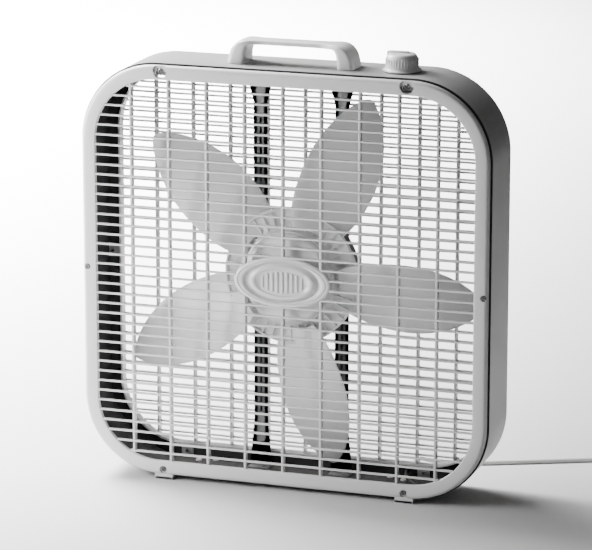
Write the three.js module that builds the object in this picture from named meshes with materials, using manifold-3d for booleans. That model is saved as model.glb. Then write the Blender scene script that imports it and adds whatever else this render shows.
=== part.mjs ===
// A 20 inch three-speed box fan, in millimetres, +Z up, front facing -Y.
// The origin is on the floor, under the middle of the housing.
import * as THREE from 'three';
import { mergeGeometries, mergeVertices } from 'three/addons/utils/BufferGeometryUtils.js';
import Module from 'manifold-3d';

const wasm = await Module();
wasm.setup();

// Driving dimensions
const gap = 0.3; // clearance between pieces that touch
const faceHalf = 265; // half of the square face
const footHeight = 5; // the face starts this far above the floor
const depthHalf = 50; // half of the housing's depth
const cornerRadius = 100;
const rimWidth = 20; // flat rim between the outer edge and the aperture
const bandHalf = 42; // the steel band runs this far each way in Y
const bandThick = 1.2;
const bezelThick = depthHalf - bandHalf - gap;
const centreZ = footHeight + faceHalf; // height of the motor's axis
const topZ = centreZ + faceHalf; // top of the band
const arcSteps = 4; // half of the segments in each rounded corner

const front = { half: faceHalf, skirtDepth: 14, edge: 5 };
const rear = { half: faceHalf - 2.5, skirtDepth: 12, edge: 4 };
const skirtThick = 2.5;
const tab = { x: 158.4, width: 24, reach: 14 }; // foot tabs under the bezels

const grille = {
  ringWidth: 3, barCount: 38, barPitch: 12.7, barHeight: 2.4, barDepth: 3.3,
  ribCount: 9, ribPitch: 49.5, ribWidth: 3, ribDepth: 7.4, faceDrop: 0.5,
};
const badge = { outer: [62.5, 31.5], inner: [45.5, 24.5], groove: [38, 18.5], lip: [41.5, 21.5] };

const screw = { shank: 1.75, head: 3.2, headDepth: 2.2, length: 13.5, clearance: 2.4 };
const screwSites = [
  { name: 'top_left', x: -158.4, z: topZ - 9, scoop: 9 },
  { name: 'top_right', x: 158.4, z: topZ - 9, scoop: 9 },
  { name: 'middle_left', x: -257.5, z: centreZ + 1, scoop: 4 },
  { name: 'middle_right', x: 257.5, z: centreZ + 1, scoop: 4 },
  { name: 'bottom_left', x: -158.4, z: footHeight + 8.5, scoop: 4 },
  { name: 'bottom_right', x: 158.4, z: footHeight + 8.5, scoop: 4 },
];
const bandTab = { y: -41, thick: 1.2, width: 16, reach: 15 };

const strap = { x: 53.5, y: 27, thick: 2, half: 9, topHalf: 11.5, bottomHalf: 14, foot: 14 };
const mountScrewRise = 40; // the mount screws sit this far above and below the axis
const plate = { radius: 78, y: 24.6, thick: 2.1 };

const motor = { radius: 42, wall: 2, half: 24.2, bearing: 9, shaft: 4, core: 20, stator: 22 };
const blade = { count: 5, first: 138, tip: 247.5, root: 68, thick: 2.2, widest: 150, halfWidth: 46.5 };
const hub = { flange: 86.5, dome: 60, front: -34, flangeY: -12, wall: 2.5 };

const handle = { base: 83, gap: 59, top: 565, under: 558.6, leg: 20, grip: 12, screwX: 71 };
const knob = { x: 138, skirt: 24, body: 19, bottom: 536, top: 557.5, ridge: 560 };
const foot = { inner: 104, outer: 144, near: -20, far: 38, pegs: [[117, 32], [137, 24]] };

const cord = { radius: 2.75, exitX: 138, exitZ: 16, reliefEnd: 84 };
const coil = { x: 397.6, y: 180.6, inner: 23.75, outer: 40.25, bottom: 0.9, top: 17.4 };
const plug = { x: 435.1, z: 11, back: 130.7, front: 95, halfWidth: 12, halfHeight: 9 };

// Routes of the lead that lies on the floor and of the two leads inside the housing
const cordRoute = [
  [138, 84.3, 16], [138, 92, 15.4], [139.3, 101, 12.8], [144, 111, 8.6], [153, 119.5, 5],
  [165, 125.6, 3.2], [180, 130.3, 2.95], [197, 134.9, 2.95], [214, 140.3, 2.95], [229.5, 147.1, 2.95],
  [246, 154.4, 2.95], [262, 161.5, 2.95], [285, 171.7, 2.95], [312, 183.7, 3], [339, 195.7, 3.2],
  [355, 202.8, 3.6], [363.5, 206.5, 3.6],
];
const tailRoute = [[435.1, 159.2, 14.6], [435.1, 150, 13.2], [435.1, 140, 11.5], [435.1, 131, 11]];
const cornerX = faceHalf - cornerRadius;
const leadOffset = 91; // distance of the supply lead from a corner's centre
const lowCorner = footHeight + cornerRadius;
const highCorner = topZ - cornerRadius;

const plastic = { color: 0xc6c6c4, roughness: 0.45, metalness: 0 };
const paint = { color: 0xb9b9b7, roughness: 0.35, metalness: 0.1 };
const dark = { color: 0x1b1b1c, roughness: 0.5, metalness: 0.1 };
const steel = { color: 0x8e8f91, roughness: 0.35, metalness: 0.9 };
const bladeLook = { color: 0xb0b1b2, roughness: 0.4, metalness: 0 };
const copper = { color: 0x9a5a34, roughness: 0.4, metalness: 0.8 };
const rubber = { color: 0xb4b4b0, roughness: 0.6, metalness: 0 };
const brass = { color: 0xb08a4a, roughness: 0.3, metalness: 1 };

const product = new THREE.Group();

// Tools that turn three.js geometry into closed solids and back

function solid(geometry) {
  const bare = geometry.index ? geometry.toNonIndexed() : geometry.clone();
  bare.deleteAttribute('normal');
  bare.deleteAttribute('uv');
  const merged = mergeVertices(bare, 1e-3);
  const point = (i) => new THREE.Vector3().fromBufferAttribute(merged.attributes.position, i);
  const faces = [];
  let volume = 0;
  for (let i = 0; i < merged.index.count; i += 3) {
    const face = [0, 1, 2].map((k) => merged.index.getX(i + k));
    if (new Set(face).size < 3) continue; // a sliver at a pole
    const [a, b, c] = face.map(point);
    volume += a.dot(b.cross(c));
    faces.push(face);
  }
  const triVerts = faces.flatMap(([a, b, c]) => (volume > 0 ? [a, b, c] : [a, c, b]));
  const vertProperties = new Float32Array(merged.attributes.position.array);
  const mesh = new wasm.Mesh({ numProp: 3, vertProperties, triVerts: new Uint32Array(triVerts) });
  return new wasm.Manifold(mesh);
}

function surface(body) {
  const mesh = body.getMesh();
  const geometry = new THREE.BufferGeometry();
  geometry.setAttribute('position', new THREE.BufferAttribute(mesh.vertProperties, 3));
  geometry.setIndex(new THREE.BufferAttribute(mesh.triVerts, 1));
  geometry.computeVertexNormals();
  return geometry;
}

function join(...bodies) {
  return bodies.reduce((sum, body) => sum.add(body));
}

function cut(body, ...tools) {
  return tools.reduce((rest, tool) => rest.subtract(tool), body);
}

function add(name, body, look) {
  const mesh = new THREE.Mesh(surface(body), new THREE.MeshStandardMaterial(look));
  mesh.name = name;
  product.add(mesh);
}

// Simple shapes, given by their lowest and highest corners or by their axis

function box(x0, x1, y0, y1, z0, z1) {
  const shape = new THREE.BoxGeometry(x1 - x0, y1 - y0, z1 - z0);
  return solid(shape.translate((x0 + x1) / 2, (y0 + y1) / 2, (z0 + z1) / 2));
}

function pinY(x, z, radius, y0, y1, sides = 16) {
  const shape = new THREE.CylinderGeometry(radius, radius, y1 - y0, sides);
  return solid(shape.translate(x, (y0 + y1) / 2, z));
}

function pinZ(x, y, radius, z0, z1, sides = 16) {
  const shape = new THREE.CylinderGeometry(radius, radius, z1 - z0, sides);
  return solid(shape.rotateX(Math.PI / 2).translate(x, y, (z0 + z1) / 2));
}

// An outline in X and Z pushed along Y
function slab(shape, y0, y1, curveSegments = arcSteps) {
  const options = { depth: y1 - y0, bevelEnabled: false, curveSegments };
  return solid(new THREE.ExtrudeGeometry(shape, options).rotateX(Math.PI / 2).translate(0, y1, 0));
}

function turned(points, segments, place, upright = false) {
  const profile = points.map(([r, h]) => new THREE.Vector2(r, h));
  const shape = new THREE.LatheGeometry(profile, segments);
  if (upright) shape.rotateX(Math.PI / 2);
  return solid(shape.translate(...place));
}

function closed(points) {
  return [...points, points[0]];
}

function squareOutline(half, radius) {
  const inner = half - radius;
  const shape = new THREE.Shape();
  const corners = [[inner, -inner, -90], [inner, inner, 0], [-inner, inner, 90], [-inner, -inner, 180]];
  for (const [x, z, start] of corners) {
    const from = THREE.MathUtils.degToRad(start);
    shape.absarc(x, centreZ + z, radius, from, from + Math.PI / 2, false);
  }
  shape.closePath();
  return shape;
}

function ovalOutline([halfWidth, halfHeight]) {
  const shape = new THREE.Shape();
  shape.absellipse(0, centreZ, halfWidth, halfHeight, 0, 2 * Math.PI, false);
  return shape;
}

function tube(route, radius, sides, steps) {
  const path = new THREE.CatmullRomCurve3(route.map((p) => new THREE.Vector3(...p)));
  const section = new THREE.Shape();
  section.absarc(0, 0, radius, 0, 2 * Math.PI, false);
  const options = { steps, extrudePath: path, curveSegments: sides / 2 };
  return solid(new THREE.ExtrudeGeometry(section, options));
}

function mirrorY(body) {
  return solid(surface(body).scale(1, -1, 1));
}

// The front and rear mouldings: rim, skirt and foot tabs

function bezel({ half, skirtDepth, edge }) {
  const outline = squareOutline(half, cornerRadius - (faceHalf - half));
  const aperture = faceHalf - rimWidth;
  const apertureRadius = cornerRadius - rimWidth;
  const bevel = {
    depth: 2 * bezelThick, curveSegments: arcSteps, bevelEnabled: true,
    bevelThickness: edge, bevelSize: edge, bevelOffset: -edge, bevelSegments: 2,
  };
  const rounded = new THREE.ExtrudeGeometry(outline, bevel).rotateX(Math.PI / 2);
  const rim = solid(rounded.translate(0, 2 * bezelThick + edge - depthHalf, 0));
  const back = box(-300, 300, -depthHalf + bezelThick, 50, -50, 600);
  const skirt = slab(squareOutline(aperture + skirtThick, apertureRadius + skirtThick),
    -depthHalf + bezelThick / 2, -depthHalf + skirtDepth);
  const hole = slab(squareOutline(aperture, apertureRadius), -60, 0);
  return cut(join(cut(rim, back), skirt, ...footTabs()), hole, ...screwRecesses());
}

function footTabs() {
  const y0 = -depthHalf;
  return [-tab.x, tab.x].flatMap((x) => [
    box(x - tab.width / 2, x + tab.width / 2, y0 + 2, y0 + bezelThick, 0, footHeight + 12),
    box(x - tab.width / 2, x + tab.width / 2, y0 + 2, y0 + tab.reach, 0, footHeight - gap),
  ]);
}

function screwRecesses() {
  const y0 = -depthHalf;
  return screwSites.flatMap(({ x, z, scoop }) => [
    pinY(x, z, screw.clearance, y0 - 1, y0 + 10, 6),
    pinY(x, z, scoop, y0 - 1, y0 + 3, 12),
  ]);
}

function panelScrew({ x, z }) {
  const seat = -depthHalf + 3 - gap;
  const head = pinY(x, z, screw.head, seat - screw.headDepth, seat, 10);
  return join(head, pinY(x, z, screw.shank, seat - 1, seat + screw.length, 6));
}

// The grille: flat cross bars in front, upright ribs behind them

function spaced(count, pitch) {
  return Array.from({ length: count }, (_, i) => (i - (count - 1) / 2) * pitch);
}

// A thin plate with the spaces between its strips cut out, inside a narrow ring
function lattice(y0, y1, count, pitch, place) {
  const half = faceHalf - rimWidth - gap;
  const radius = cornerRadius - rimWidth - gap;
  const ring = grille.ringWidth;
  const inside = slab(squareOutline(half - ring, radius - ring), y0 - 1, y1 + 1);
  const slots = spaced(count + 1, pitch).map((offset) => {
    const [x0, x1, z0, z1] = place(offset);
    const shape = new THREE.BoxGeometry(x1 - x0, y1 - y0 + 2, z1 - z0);
    return shape.translate((x0 + x1) / 2, (y0 + y1) / 2, (z0 + z1) / 2);
  });
  return cut(slab(squareOutline(half, radius), y0, y1), solid(mergeGeometries(slots)).intersect(inside));
}

function grilleBars() {
  const y0 = -depthHalf + grille.faceDrop;
  const half = (grille.barPitch - grille.barHeight) / 2;
  return lattice(y0, y0 + grille.barDepth, grille.barCount, grille.barPitch,
    (offset) => [-faceHalf, faceHalf, centreZ + offset - half, centreZ + offset + half]);
}

function grilleRibs() {
  const y0 = -depthHalf + grille.faceDrop + grille.barDepth + gap;
  const half = (grille.ribPitch - grille.ribWidth) / 2;
  return lattice(y0, y0 + grille.ribDepth, grille.ribCount, grille.ribPitch,
    (offset) => [offset - half, offset + half, 0, topZ]);
}

function badgeSurround() {
  const y0 = -depthHalf;
  const y1 = y0 + grille.faceDrop + grille.barDepth;
  const [w, h] = badge.inner;
  const opening = slab(ovalOutline([w + gap, h + gap]), y0 - 1, y1 + 1, 10);
  return { panel: slab(ovalOutline(badge.outer), y0 + grille.faceDrop, y1, 10), opening };
}

function badgePlate() {
  const y0 = -depthHalf;
  const plateBody = slab(ovalOutline(badge.inner), y0, y0 + grille.faceDrop + grille.barDepth, 10);
  const trench = cut(
    slab(ovalOutline(badge.lip), y0 - 1, y0 + 0.8, 10),
    slab(ovalOutline(badge.groove), y0 - 2, y0 + 2, 10),
  );
  return cut(plateBody, trench);
}

function addPanels() {
  const { panel, opening } = badgeSurround();
  const bars = grilleBars();
  const ribs = grilleRibs();
  const inlet = pinY(cord.exitX, cord.exitZ, 4.8, -60, -40);
  add('front_bezel', bezel(front), plastic);
  add('front_grille_bars', cut(join(bars, panel), opening), plastic);
  add('front_grille_ribs', ribs, plastic);
  add('badge_plate', badgePlate(), plastic);
  add('rear_bezel', mirrorY(cut(bezel(rear), inlet)), plastic);
  add('rear_grille_bars', mirrorY(bars), plastic);
  add('rear_grille_ribs', mirrorY(ribs), plastic);
  for (const site of screwSites) {
    add(`front_screw_${site.name}`, panelScrew(site), steel);
    add(`rear_screw_${site.name}`, mirrorY(panelScrew(site)), steel);
  }
}

// The steel band that wraps the housing, with its folded screw tabs

function bandTabs() {
  const half = bandTab.width / 2;
  return screwSites.map(({ x, z }) => {
    const side = Math.abs(x) > 200;
    const wall = faceHalf - bandThick / 2;
    if (side) {
      const [x0, x1] = x > 0 ? [wall - bandTab.reach, wall] : [-wall, -wall + bandTab.reach];
      return box(x0, x1, bandTab.y, bandTab.y + bandTab.thick, z - half, z + half);
    }
    const [z0, z1] = z > centreZ ? [centreZ + wall - bandTab.reach, centreZ + wall]
      : [centreZ - wall, centreZ - wall + bandTab.reach];
    return box(x - half, x + half, bandTab.y, bandTab.y + bandTab.thick, z0, z1);
  });
}

function addBand() {
  const shell = cut(
    slab(squareOutline(faceHalf, cornerRadius), -bandHalf, bandHalf),
    slab(squareOutline(faceHalf - bandThick, cornerRadius - bandThick), -60, 60),
  );
  const tabs = bandTabs();
  const screwHoles = screwSites.map(({ x, z }) => pinY(x, z, screw.clearance, -60, 60, 6));
  const pegHoles = foot.pegs.flatMap(([x, y]) => [-x, x].map((side) => pinZ(side, y, 3.4, 0, 12, 8)));
  const handleHoles = [-handle.screwX, handle.screwX].map((x) => pinZ(x, 0, 2.4, 525, 540, 8));
  const switchHole = pinZ(knob.x, 0, 5.4, 525, 540);
  const tabbed = cut(join(...tabs, ...tabs.map(mirrorY)), ...screwHoles);
  add('steel_band', cut(join(shell, tabbed), ...pegHoles, ...handleHoles, switchHole), paint);
}

function bandFoot(side) {
  const [x0, x1] = side > 0 ? [foot.inner, foot.outer] : [-foot.outer, -foot.inner];
  const pegs = foot.pegs.flatMap(([x, y]) => [
    pinZ(side * x, y, 2.9, 2, 8, 8),
    pinZ(side * x, y, 4.2, 6.2 + gap, 9.5, 8),
  ]);
  return join(box(x0, x1, foot.near, foot.far, 0, footHeight - gap), ...pegs);
}

// Two straps carry the motor across the band

function strapBody(side) {
  const x = side * strap.x;
  const bottom = footHeight + bandThick + gap;
  const top = topZ - bandThick - gap;
  const outline = new THREE.Shape([
    [strap.bottomHalf, bottom], [strap.bottomHalf, bottom + 4], [strap.half, bottom + 36],
    [strap.half, top - 14], [strap.topHalf, top - 3], [strap.topHalf, top],
    [-strap.topHalf, top], [-strap.topHalf, top - 3], [-strap.half, top - 14],
    [-strap.half, bottom + 36], [-strap.bottomHalf, bottom + 4], [-strap.bottomHalf, bottom],
  ].map(([dx, z]) => new THREE.Vector2(x + dx, z)));
  const y1 = strap.y + strap.thick;
  const y0 = y1 - strap.foot;
  const body = join(
    slab(outline, strap.y, y1),
    box(x - strap.bottomHalf, x + strap.bottomHalf, y0, y1, bottom, bottom + strap.thick),
    box(x - strap.topHalf, x + strap.topHalf, y0, y1, top - strap.thick, top),
  );
  return cut(body, ...mountHoles(x));
}

function mountHoles(x) {
  return [-1, 1].map((up) => pinY(x, centreZ + up * mountScrewRise, 2.4, 20, 35, 8));
}

function backScrew(x, z, radius, tip, seat) {
  return join(
    pinY(x, z, radius, tip, seat + 1, 6),
    pinY(x, z, 2 * radius, seat + gap, seat + gap + 2.4, 10),
  );
}

function addMotorMount() {
  add('motor_strap_left', strapBody(-1), dark);
  add('motor_strap_right', strapBody(1), dark);
  const disc = pinY(0, centreZ, plate.radius, plate.y, plate.y + plate.thick, 30);
  const holes = [
    pinY(0, centreZ, 14, 20, 30), pinY(20, centreZ + 20, 3.2, 20, 30, 8),
    pinY(28, centreZ, 2.4, 20, 30, 8), pinY(-28, centreZ, 2.4, 20, 30, 8),
    ...mountHoles(strap.x), ...mountHoles(-strap.x),
  ];
  add('motor_mount_plate', cut(disc, ...holes), dark);
  const corners = [['lower', -1], ['upper', 1]];
  for (const [side, x] of [['left', -strap.x], ['right', strap.x]]) {
    for (const [level, up] of corners) {
      const z = centreZ + up * mountScrewRise;
      add(`mount_screw_${level}_${side}`, backScrew(x, z, 2, 22, strap.y + strap.thick), steel);
    }
    const sign = Math.sign(x);
    add(`motor_screw_${side}`, backScrew(28 * sign, centreZ, 2, 16, plate.y + plate.thick), steel);
  }
}

// The motor: two shells, stator, windings, bearings, and the rotor on its shaft

function motorShell(tip) {
  const r = motor.radius;
  const y = motor.half;
  const w = motor.wall;
  const seat = motor.bearing + gap;
  const profile = closed([
    [r, tip], [r, y - 3], [r - 3, y], [5, y], [5, y - w], [seat, y - w], [seat, 14], [12, 14],
    [12, y - w], [r - w - 2, y - w], [r - w, y - w - 2], [r - w, tip],
  ]);
  return turned(profile, 22, [0, 0, centreZ]);
}

function washer(inner, outer, y0, y1, sides = 22) {
  const profile = closed([[inner, y0], [outer, y0], [outer, y1], [inner, y1]]);
  return turned(profile, sides, [0, 0, centreZ]);
}

function addMotor() {
  const screwHoles = [-28, 28].map((x) => pinY(x, centreZ, 2.4, 15, 30, 8));
  add('motor_rear_shell', cut(motorShell(gap / 2), ...screwHoles), steel);
  add('motor_front_shell', mirrorY(motorShell(gap / 2)), steel);
  add('stator_core', washer(motor.stator, motor.radius - motor.wall - gap, -9, 9), steel);
  add('stator_winding_front', washer(24, 38, -13.7, -9.3), copper);
  add('stator_winding_rear', washer(24, 38, 9.3, 13.7), copper);
  add('front_bearing', washer(motor.shaft + gap, motor.bearing, -21.7, -14.2, 14), brass);
  add('rear_bearing', washer(motor.shaft + gap, motor.bearing, 14.2, 21.7, 14), brass);
  add('rotor_core', washer(motor.shaft + gap, motor.core, -9, 9), steel);
  add('motor_shaft', pinY(0, centreZ, motor.shaft, -36.5, 21.4, 12), steel);
  add('blade_clip', washer(motor.shaft + gap, 8, -36.8, hub.front - gap, 12), steel);
}

// The five-bladed fan: a domed hub that covers the motor, and leaf-shaped twisted blades

function bladeHalfWidth(r) {
  const short = r < blade.widest;
  const t = (r - blade.widest) / (short ? 100 : blade.tip + 0.5 - blade.widest);
  return Math.max(2, blade.halfWidth * Math.pow(1 - t * t, short ? 0.5 : 0.75));
}

function bladePoint(along, across, through, turn) {
  const r = blade.root + along * (blade.tip - blade.root);
  const rise = (r - hub.flange) / (blade.tip - hub.flange);
  const s = across * 2 * bladeHalfWidth(r);
  const sweep = THREE.MathUtils.degToRad(3.4 * rise - 3);
  const angle = turn + sweep + s / r;
  const y = -14 * (1 - rise) - 0.4 * (1 - rise) * s + through * blade.thick;
  return [r * Math.cos(angle), y, centreZ + r * Math.sin(angle)];
}

function bladeBody(turn) {
  const shape = new THREE.BoxGeometry(1, 1, 1, 9, 4, 1);
  const position = shape.attributes.position;
  for (let i = 0; i < position.count; i += 1) {
    const [u, v, w] = [position.getX(i), position.getY(i), position.getZ(i)];
    position.setXYZ(i, ...bladePoint(u + 0.5, v, w, turn));
  }
  return solid(shape);
}

function addFanBlade() {
  const { flange, dome, front: y, flangeY, wall } = hub;
  const bore = motor.shaft + gap;
  const hubBody = turned(closed([
    [flange, flangeY + 3], [flange, flangeY], [dome + 2, flangeY], [dome, flangeY - 3],
    [dome - 2, y + 7], [dome - 5, y + 2.5], [dome - 10, y], [bore, y], [bore, -25], [9, -25],
    [9, y + wall], [dome - 11, y + wall], [dome - 7, y + 5], [dome - 4.5, y + 9],
    [dome - wall, flangeY + 3],
  ]), 26, [0, 0, centreZ]);
  const step = (2 * Math.PI) / blade.count;
  const turn = THREE.MathUtils.degToRad(blade.first);
  const blades = spaced(blade.count, 1).map((k) => bladeBody(turn + k * step));
  add('fan_blade', join(hubBody, ...blades), bladeLook);
}

// The carrying handle on top

function addHandle() {
  const { base, gap: inner, top, under, leg, grip, screwX } = handle;
  const z0 = topZ + gap;
  const arch = new THREE.Shape();
  arch.moveTo(base, z0);
  arch.lineTo(base, z0 + 2.5);
  arch.bezierCurveTo(base - 9, z0 + 4, base - 12, top, base - 28, top);
  arch.lineTo(28 - base, top);
  arch.bezierCurveTo(12 - base, top, 9 - base, z0 + 4, -base, z0 + 2.5);
  arch.lineTo(-base, z0);
  arch.lineTo(-inner, z0);
  arch.bezierCurveTo(4 - inner, z0 + 12, 6 - inner, under, 13 - inner, under);
  arch.lineTo(inner - 13, under);
  arch.bezierCurveTo(inner - 6, under, inner - 4, z0 + 12, inner, z0);
  arch.closePath();
  const plan = new THREE.Shape();
  plan.moveTo(-90, -leg);
  plan.lineTo(-72, -leg);
  plan.bezierCurveTo(-52, -leg, -60, -grip, -36, -grip);
  plan.lineTo(36, -grip);
  plan.bezierCurveTo(60, -grip, 52, -leg, 72, -leg);
  plan.lineTo(90, -leg);
  plan.lineTo(90, leg);
  plan.lineTo(72, leg);
  plan.bezierCurveTo(52, leg, 60, grip, 36, grip);
  plan.lineTo(-36, grip);
  plan.bezierCurveTo(-60, grip, -52, leg, -72, leg);
  plan.lineTo(-90, leg);
  plan.closePath();
  const depth = { depth: 60, bevelEnabled: false, curveSegments: 6 };
  const column = solid(new THREE.ExtrudeGeometry(plan, depth).translate(0, 0, 520));
  const holes = [-screwX, screwX].map((x) => pinZ(x, 0, 2.3, 525, 549, 10));
  add('handle', cut(slab(arch, -30, 30, 6).intersect(column), ...holes), plastic);
  for (const [side, x] of [['left', -screwX], ['right', screwX]]) {
    const head = pinZ(x, 0, 4, topZ - bandThick - gap - 3, topZ - bandThick - gap, 12);
    add(`handle_screw_${side}`, join(head, pinZ(x, 0, 2, 531, 548, 8)), steel);
  }
}

// The rotary speed switch and its knob

function addSwitch() {
  const { x, skirt, body, bottom, top, ridge } = knob;
  const housing = box(x - 16, x + 16, -13, 13, 508, topZ - bandThick - gap);
  const bush = pinZ(x, 0, 5, 530, 539);
  add('switch_body', cut(join(housing, bush), pinZ(x, 0, 3.4, 519, 545, 12)), dark);
  add('switch_nut', cut(pinZ(x, 0, 8.5, topZ + gap, 538, 6), pinZ(x, 0, 5.3, 530, 545)), steel);
  add('switch_shaft', pinZ(x, 0, 3, 520, 551.7, 12), steel);
  const cap = turned([
    [0, top], [body - 3, top], [body - 1, top - 2], [body + 0.5, bottom + 5], [skirt, bottom + 3],
    [skirt, bottom], [12, bottom], [12, bottom + 5], [3.4, bottom + 5], [3.4, 552], [0, 552],
  ], 24, [x, 0, 0], true);
  add('switch_knob', join(cap, box(x - 2.5, x + 2.5, -15.5, 15.5, top - 3, ridge)), plastic);
}

// Leads, cord, coil and plug

function cornerPoint(centre, degrees) {
  const angle = THREE.MathUtils.degToRad(degrees);
  return [cornerX + leadOffset * Math.cos(angle), -29, centre + leadOffset * Math.sin(angle)];
}

function addLeads() {
  const supply = [
    [cord.exitX, 42.4, cord.exitZ], [138, 33, 15.5], [141, 22, 13.5], [150, 7, 11.7], [163, -9, 11.5],
    [179, -22, 13.2], ...[-65, -45, -20, 0].map((a) => cornerPoint(lowCorner, a)),
    [cornerX + leadOffset, -29, 200], [cornerX + leadOffset, -29, 340],
    ...[0, 20, 45, 65].map((a) => cornerPoint(highCorner, a)),
    [186, -19, 522], [173, -7, 520.5], [163, -2.6, 520], [154.8, -2, 520],
  ];
  const toMotor = [
    [121.2, 6, 520], [114, 6.8, 520], [100, 16, 519], [85, 26, 516], [70, 31, 508], [57.5, 32.3, 495],
    [50, 32.5, 480], [47.5, 32.5, 400], [46, 32.8, 330], [42.5, 33.2, 312], [36, 33.8, 300],
    [28, 34, 291.5], [21.5, 32, 290], [20, 28, 290], [20, 24.6, 290],
  ];
  add('supply_lead', tube(supply, 2.4, 6, 44), dark);
  add('motor_lead', tube(toMotor, 2.2, 6, 36), dark);
}

function addCord() {
  const relief = turned([
    [0, 42.8], [4.4, 42.8], [4.4, depthHalf + gap], [7.5, depthHalf + gap], [7.5, 53.5],
    [5.6, 55], [3.9, cord.reliefEnd], [0, cord.reliefEnd],
  ], 12, [cord.exitX, 0, cord.exitZ]);
  add('strain_relief', relief, rubber);
  add('cord', tube(cordRoute, cord.radius, 8, 26), rubber);
  add('cord_tail', tube(tailRoute, cord.radius, 8, 5), rubber);
  const { x, y, inner, outer, bottom, top } = coil;
  const ring = closed([
    [inner, bottom + 2], [inner + 2, bottom], [outer - 2, bottom], [outer, bottom + 2],
    [outer, top - 2], [outer - 2, top], [inner + 2, top], [inner, top - 2],
  ]);
  add('cord_coil', turned(ring, 28, [x, y, 0], true), rubber);
  const tie = cut(
    box(x - 2.5, x + 2.5, y + inner - 2, y + outer + 1.5, 0.1, top + 1.5),
    box(x - 4, x + 4, y + inner - 2.5 * gap, y + outer + gap, 0.6, top + gap),
  );
  add('cord_tie', tie, dark);
}

function addPlug() {
  const { x, z, back, front: y, halfWidth, halfHeight } = plug;
  const outline = new THREE.Shape([
    [-halfWidth, -5], [-8, -halfHeight], [8, -halfHeight], [halfWidth, -5],
    [halfWidth, 5], [8, halfHeight], [-8, halfHeight], [-halfWidth, 5],
  ].map(([dx, dz]) => new THREE.Vector2(x + dx, z + dz)));
  const neck = pinY(x, z, 5, back - 12, back, 12);
  const sockets = [-6.35, 6.35].map((dx) => box(x + dx - 1.1, x + dx + 1.1, y - 1, y + 8, z - 3.6, z + 3.6));
  add('plug_body', cut(join(slab(outline, y, back - 10), neck), ...sockets), rubber);
  for (const [side, dx] of [['left', -6.35], ['right', 6.35]]) {
    add(`plug_blade_${side}`, box(x + dx - 0.75, x + dx + 0.75, y - 17, y + 7.5, z - 3.2, z + 3.2), brass);
  }
}

addPanels();
addBand();
add('band_foot_left', bandFoot(-1), plastic);
add('band_foot_right', bandFoot(1), plastic);
addMotorMount();
addMotor();
addFanBlade();
addHandle();
addSwitch();
addLeads();
addCord();
addPlug();

export default product;
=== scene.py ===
from math import cos, pi, radians, sin, sqrt

import bmesh
import bpy
from mathutils import Matrix, Vector


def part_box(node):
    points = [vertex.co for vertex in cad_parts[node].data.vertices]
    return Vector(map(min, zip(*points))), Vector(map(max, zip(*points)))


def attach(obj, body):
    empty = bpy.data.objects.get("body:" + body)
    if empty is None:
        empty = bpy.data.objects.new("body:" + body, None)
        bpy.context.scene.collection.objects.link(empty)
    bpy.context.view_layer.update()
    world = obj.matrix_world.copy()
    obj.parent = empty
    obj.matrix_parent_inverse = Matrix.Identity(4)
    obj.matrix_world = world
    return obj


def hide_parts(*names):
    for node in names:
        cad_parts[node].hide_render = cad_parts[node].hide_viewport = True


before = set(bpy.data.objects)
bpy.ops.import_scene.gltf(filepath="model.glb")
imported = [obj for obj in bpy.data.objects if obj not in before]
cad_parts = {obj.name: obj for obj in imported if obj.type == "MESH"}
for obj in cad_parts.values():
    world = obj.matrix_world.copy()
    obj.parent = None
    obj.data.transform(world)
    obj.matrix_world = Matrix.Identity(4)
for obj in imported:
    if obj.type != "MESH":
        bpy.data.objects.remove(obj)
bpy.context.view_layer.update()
mm = 0.001  # lengths in the dictionaries are in millimetres

# The housing's driving sizes come from the frame
bandLow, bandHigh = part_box("steel_band")
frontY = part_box("front_bezel")[0].y
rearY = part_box("rear_bezel")[1].y
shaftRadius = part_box("motor_shaft")[1].x
faceHalf = bandHigh.x
centreZ = (bandLow.z + bandHigh.z) / 2
cornerRadius = 100 * mm
rimWidth = 20 * mm
apertureHalf = faceHalf - rimWidth
apertureRadius = cornerRadius - rimWidth


def setCamera():
    view = {"lens": 211.9, "place": (1325.4, -3999.1, 1331.2), "azimuth": 18.31, "elevation": 14.16}
    data = bpy.data.cameras.new("frontCamera")
    data.lens = view["lens"]
    data.clip_end = 60
    camera = bpy.data.objects.new("frontCamera", data)
    camera.location = Vector(view["place"]) * mm
    camera.rotation_euler = (radians(90 - view["elevation"]), 0, radians(view["azimuth"]))
    bpy.context.scene.collection.objects.link(camera)
    bpy.context.scene.camera = camera


# Node groups: effects that several finishes share

def newGroup(name, inputs, outputs):
    group = bpy.data.node_groups.new(name, "ShaderNodeTree")
    for label, kind, value in inputs:
        socket = group.interface.new_socket(name=label, in_out="INPUT", socket_type=kind)
        socket.default_value = value
    for label, kind in outputs:
        group.interface.new_socket(name=label, in_out="OUTPUT", socket_type=kind)
    return group, group.nodes.new("NodeGroupInput"), group.nodes.new("NodeGroupOutput")


def noiseNode(group, coordinates, scale, detail=3.0, roughness=0.5):
    noise = group.nodes.new("ShaderNodeTexNoise")
    noise.inputs["Detail"].default_value = detail
    noise.inputs["Roughness"].default_value = roughness
    if isinstance(scale, (int, float)):
        noise.inputs["Scale"].default_value = scale
    else:
        group.links.new(scale, noise.inputs["Scale"])
    group.links.new(coordinates, noise.inputs["Vector"])
    return noise


def mathNode(group, operation, first, second):
    node = group.nodes.new("ShaderNodeMath")
    node.operation = operation
    for socket, value in zip(node.inputs, (first, second)):
        if isinstance(value, (int, float)):
            socket.default_value = value
        else:
            group.links.new(value, socket)
    return node.outputs["Value"]


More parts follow.
